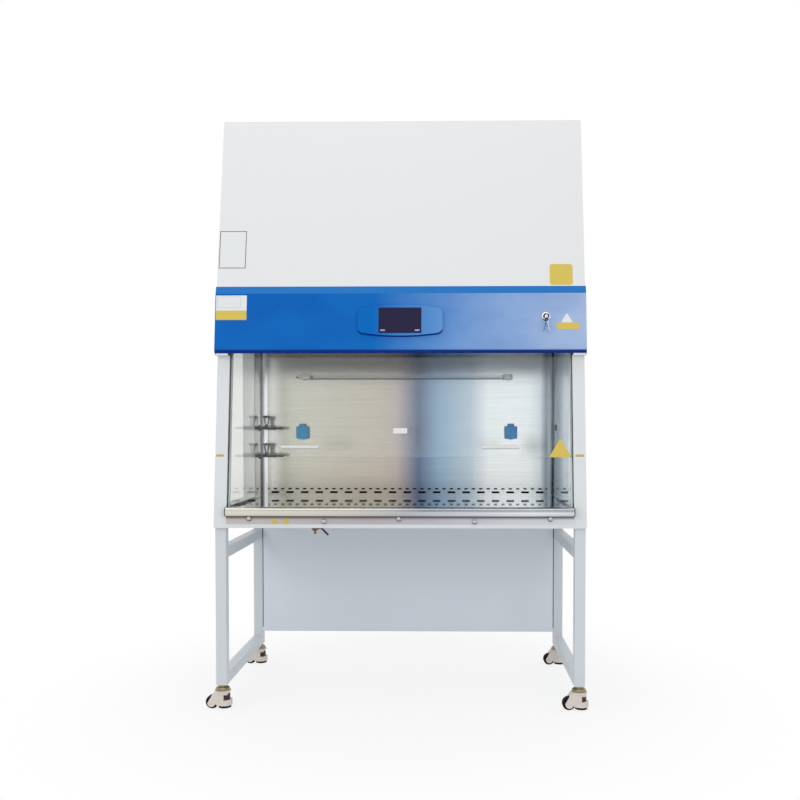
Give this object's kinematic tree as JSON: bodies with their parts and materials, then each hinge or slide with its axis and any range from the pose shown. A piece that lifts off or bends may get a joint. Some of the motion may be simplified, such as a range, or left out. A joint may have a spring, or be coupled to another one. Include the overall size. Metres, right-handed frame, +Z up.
{
  "type": "biosafety cabinet",
  "caption": "Class II biosafety cabinet on a castered stand: sliding glass sash over a stainless chamber with lift-out trays, gas cocks, covered sockets, UV lamp and key-locked control panel.",
  "frame": {"origin": "on the floor under the middle of the cabinet's width and depth", "axes": "+Z up, the operator stands at -Y, +X to the operator's right"},
  "size_m": [1.4563, 0.772, 2.272],
  "materials": {
    "body_white": "satin white powder coat",
    "head_white": "satin white powder coat",
    "base_white": "satin white powder coat",
    "control_blue": "glossy mid blue",
    "bezel_blue": "glossy mid blue",
    "screen_dark": "dark glossy touch screen",
    "switch_chrome": "polished",
    "key_metal": "polished",
    "screw_metal": "bright, knurled",
    "skirt_grey": "satin",
    "armrest_steel": "brushed stainless",
    "chamber_steel": "brushed stainless",
    "baffle_steel": "brushed stainless",
    "rail_aluminium": "anodised",
    "diffuser_white": "satin white",
    "plenum_steel": "galvanised grey",
    "fan_aluminium": "plain",
    "filter_paper": "pleated glass-fibre paper",
    "side_glass": "clear float glass",
    "sash_glass": "clear toughened glass, green edges",
    "lamp_glass": "clear quartz tube with metal caps",
    "handle_white": "white",
    "holder_white": "white",
    "socket_blue": "blue",
    "lid_blue": "translucent blue",
    "cock_chrome": "polished",
    "knob_metal": "satin",
    "valve_brass": "plain",
    "lever_maroon": "dark red-brown",
    "stand_paint": "light blue-grey powder coat",
    "stand_panel_paint": "light blue-grey powder coat",
    "stem_zinc": "yellow zinc plated",
    "caster_ivory": "ivory",
    "wheel_black": "black",
    "dial_maroon": "dark red",
    "foot_black": "black"
  },
  "bodies": {
    "cabinet": {"side_panel_left": "body_white", "side_panel_right": "body_white", "rear_cover": "body_white", "top_cover": "body_white", "exhaust_grille": "body_white", "upper_panel": "head_white", "control_panel": "control_blue", "display_bezel": "bezel_blue", "touch_screen": "screen_dark", "key_switch": "switch_chrome", "base_pan": "base_white", "front_skirt": "skirt_grey", "thumb_screws": "screw_metal", "armrest": "armrest_steel", "front_grille": "chamber_steel", "rear_baffle": "baffle_steel", "side_liners": "chamber_steel", "side_windows": "side_glass", "sash_rails": "rail_aluminium", "diffuser": "diffuser_white", "filters": "filter_paper", "plenum_box": "plenum_steel", "fan_scroll": "plenum_steel", "uv_tube": "lamp_glass", "uv_holders": "holder_white", "socket_bases": "socket_blue", "gas_cocks": "cock_chrome", "drain_valve": "valve_brass", "stand_frames": "stand_paint", "stand_panel": "stand_panel_paint", "caster_stems": "stem_zinc"},
    "sash": {"sash_glass": "sash_glass", "sash_handles": "handle_white"},
    "tray_left": {"work_tray_left": "chamber_steel"},
    "tray_middle": {"work_tray_middle": "chamber_steel"},
    "tray_right": {"work_tray_right": "chamber_steel"},
    "socket_lid_left": {"socket_lid_left": "lid_blue"},
    "socket_lid_right": {"socket_lid_right": "lid_blue"},
    "gas_knob_lower": {"gas_knob_lower": "knob_metal"},
    "gas_knob_upper": {"gas_knob_upper": "knob_metal"},
    "drain_lever": {"drain_lever": "lever_maroon"},
    "key": {"key": "key_metal"},
    "key_ring": {"key_ring": "key_metal"},
    "fan_impeller": {"fan_impeller": "fan_aluminium"},
    "caster_housing_front_left": {"caster_housing_front_left": "caster_ivory"},
    "caster_wheel_front_left": {"caster_wheel_front_left": "wheel_black"},
    "caster_dial_front_left": {"caster_dial_front_left": "dial_maroon"},
    "caster_foot_front_left": {"caster_foot_front_left": "foot_black"},
    "caster_housing_front_right": {"caster_housing_front_right": "caster_ivory"},
    "caster_wheel_front_right": {"caster_wheel_front_right": "wheel_black"},
    "caster_dial_front_right": {"caster_dial_front_right": "dial_maroon"},
    "caster_foot_front_right": {"caster_foot_front_right": "foot_black"},
    "caster_housing_rear_left": {"caster_housing_rear_left": "caster_ivory"},
    "caster_wheel_rear_left": {"caster_wheel_rear_left": "wheel_black"},
    "caster_dial_rear_left": {"caster_dial_rear_left": "dial_maroon"},
    "caster_foot_rear_left": {"caster_foot_rear_left": "foot_black"},
    "caster_housing_rear_right": {"caster_housing_rear_right": "caster_ivory"},
    "caster_wheel_rear_right": {"caster_wheel_rear_right": "wheel_black"},
    "caster_dial_rear_right": {"caster_dial_rear_right": "dial_maroon"},
    "caster_foot_rear_right": {"caster_foot_rear_right": "foot_black"}
  },
  "joints": [
    {"name": "sash_slide", "type": "slide", "parent": "cabinet", "child": "sash", "axis": [0, 0.1167, 0.9932], "range_m": [-0.19, 0.33]},
    {"name": "tray_lift_left", "type": "slide", "parent": "cabinet", "child": "tray_left", "axis": [0, 0, 1], "range_m": [0, 0.12]},
    {"name": "tray_lift_middle", "type": "slide", "parent": "cabinet", "child": "tray_middle", "axis": [0, 0, 1], "range_m": [0, 0.12]},
    {"name": "tray_lift_right", "type": "slide", "parent": "cabinet", "child": "tray_right", "axis": [0, 0, 1], "range_m": [0, 0.12]},
    {"name": "socket_lid_hinge_left", "type": "hinge", "parent": "cabinet", "child": "socket_lid_left", "pos_m": [-0.465, 0.2495, 1.087], "axis": [-1, 0, 0], "range_deg": [0, 95]},
    {"name": "socket_lid_hinge_right", "type": "hinge", "parent": "cabinet", "child": "socket_lid_right", "pos_m": [0.46, 0.2495, 1.087], "axis": [-1, 0, 0], "range_deg": [0, 95]},
    {"name": "gas_knob_turn_lower", "type": "hinge", "parent": "cabinet", "child": "gas_knob_lower", "pos_m": [-0.615, 0.201, 0.951], "axis": [0, 0, 1], "range_deg": [0, 360]},
    {"name": "gas_knob_turn_upper", "type": "hinge", "parent": "cabinet", "child": "gas_knob_upper", "pos_m": [-0.615, 0.201, 1.072], "axis": [0, 0, 1], "range_deg": [0, 360]},
    {"name": "drain_lever_turn", "type": "hinge", "parent": "cabinet", "child": "drain_lever", "pos_m": [-0.357, -0.119, 0.669], "axis": [0, 1, 0], "range_deg": [0, 90]},
    {"name": "key_turn", "type": "hinge", "parent": "cabinet", "child": "key", "pos_m": [0.551, -0.30749, 1.489], "axis": [0, 0.9932, -0.1167], "range_deg": [0, 90]},
    {"name": "key_ring_swing", "type": "hinge", "parent": "key", "child": "key_ring", "pos_m": [0.551, -0.32881, 1.48748], "axis": [-1, 0, 0], "range_deg": [0, 50]},
    {"name": "fan_spin", "type": "hinge", "parent": "cabinet", "child": "fan_impeller", "pos_m": [0, 0.229, 1.854], "axis": [0, 1, 0], "continuous": true},
    {"name": "caster_swivel_front_left", "type": "hinge", "parent": "cabinet", "child": "caster_housing_front_left", "pos_m": [-0.6784, -0.321, 0.066], "axis": [0, 0, 1], "continuous": true},
    {"name": "caster_roll_front_left", "type": "hinge", "parent": "caster_housing_front_left", "child": "caster_wheel_front_left", "pos_m": [-0.7169, -0.321, 0.025], "axis": [0, 1, 0], "continuous": true},
    {"name": "caster_dial_turn_front_left", "type": "hinge", "parent": "caster_housing_front_left", "child": "caster_dial_front_left", "pos_m": [-0.6704, -0.321, 0.045], "axis": [0, 0, 1], "range_deg": [0, 1080]},
    {"name": "caster_foot_lower_front_left", "type": "slide", "parent": "caster_housing_front_left", "child": "caster_foot_front_left", "axis": [0, 0, -1], "range_m": [0, 0.00525]},
    {"name": "caster_swivel_front_right", "type": "hinge", "parent": "cabinet", "child": "caster_housing_front_right", "pos_m": [0.6784, -0.321, 0.066], "axis": [0, 0, 1], "continuous": true},
    {"name": "caster_roll_front_right", "type": "hinge", "parent": "caster_housing_front_right", "child": "caster_wheel_front_right", "pos_m": [0.6399, -0.321, 0.025], "axis": [0, 1, 0], "continuous": true},
    {"name": "caster_dial_turn_front_right", "type": "hinge", "parent": "caster_housing_front_right", "child": "caster_dial_front_right", "pos_m": [0.6864, -0.321, 0.045], "axis": [0, 0, 1], "range_deg": [0, 1080]},
    {"name": "caster_foot_lower_front_right", "type": "slide", "parent": "caster_housing_front_right", "child": "caster_foot_front_right", "axis": [0, 0, -1], "range_m": [0, 0.00525]},
    {"name": "caster_swivel_rear_left", "type": "hinge", "parent": "cabinet", "child": "caster_housing_rear_left", "pos_m": [-0.6784, 0.326, 0.066], "axis": [0, 0, 1], "continuous": true},
    {"name": "caster_roll_rear_left", "type": "hinge", "parent": "caster_housing_rear_left", "child": "caster_wheel_rear_left", "pos_m": [-0.7169, 0.326, 0.025], "axis": [0, 1, 0], "continuous": true},
    {"name": "caster_dial_turn_rear_left", "type": "hinge", "parent": "caster_housing_rear_left", "child": "caster_dial_rear_left", "pos_m": [-0.6704, 0.326, 0.045], "axis": [0, 0, 1], "range_deg": [0, 1080]},
    {"name": "caster_foot_lower_rear_left", "type": "slide", "parent": "caster_housing_rear_left", "child": "caster_foot_rear_left", "axis": [0, 0, -1], "range_m": [0, 0.00525]},
    {"name": "caster_swivel_rear_right", "type": "hinge", "parent": "cabinet", "child": "caster_housing_rear_right", "pos_m": [0.6784, 0.326, 0.066], "axis": [0, 0, 1], "continuous": true},
    {"name": "caster_roll_rear_right", "type": "hinge", "parent": "caster_housing_rear_right", "child": "caster_wheel_rear_right", "pos_m": [0.6399, 0.326, 0.025], "axis": [0, 1, 0], "continuous": true},
    {"name": "caster_dial_turn_rear_right", "type": "hinge", "parent": "caster_housing_rear_right", "child": "caster_dial_rear_right", "pos_m": [0.6864, 0.326, 0.045], "axis": [0, 0, 1], "range_deg": [0, 1080]},
    {"name": "caster_foot_lower_rear_right", "type": "slide", "parent": "caster_housing_rear_right", "child": "caster_foot_rear_right", "axis": [0, 0, -1], "range_m": [0, 0.00525]}
  ],
  "couplings": [
    {"joint": "caster_dial_turn_front_left", "follows": "caster_foot_lower_front_left", "rad_per_m": 3590.4},
    {"joint": "caster_dial_turn_front_right", "follows": "caster_foot_lower_front_right", "rad_per_m": 3590.4},
    {"joint": "caster_dial_turn_rear_left", "follows": "caster_foot_lower_rear_left", "rad_per_m": 3590.4},
    {"joint": "caster_dial_turn_rear_right", "follows": "caster_foot_lower_rear_right", "rad_per_m": 3590.4}
  ]
}
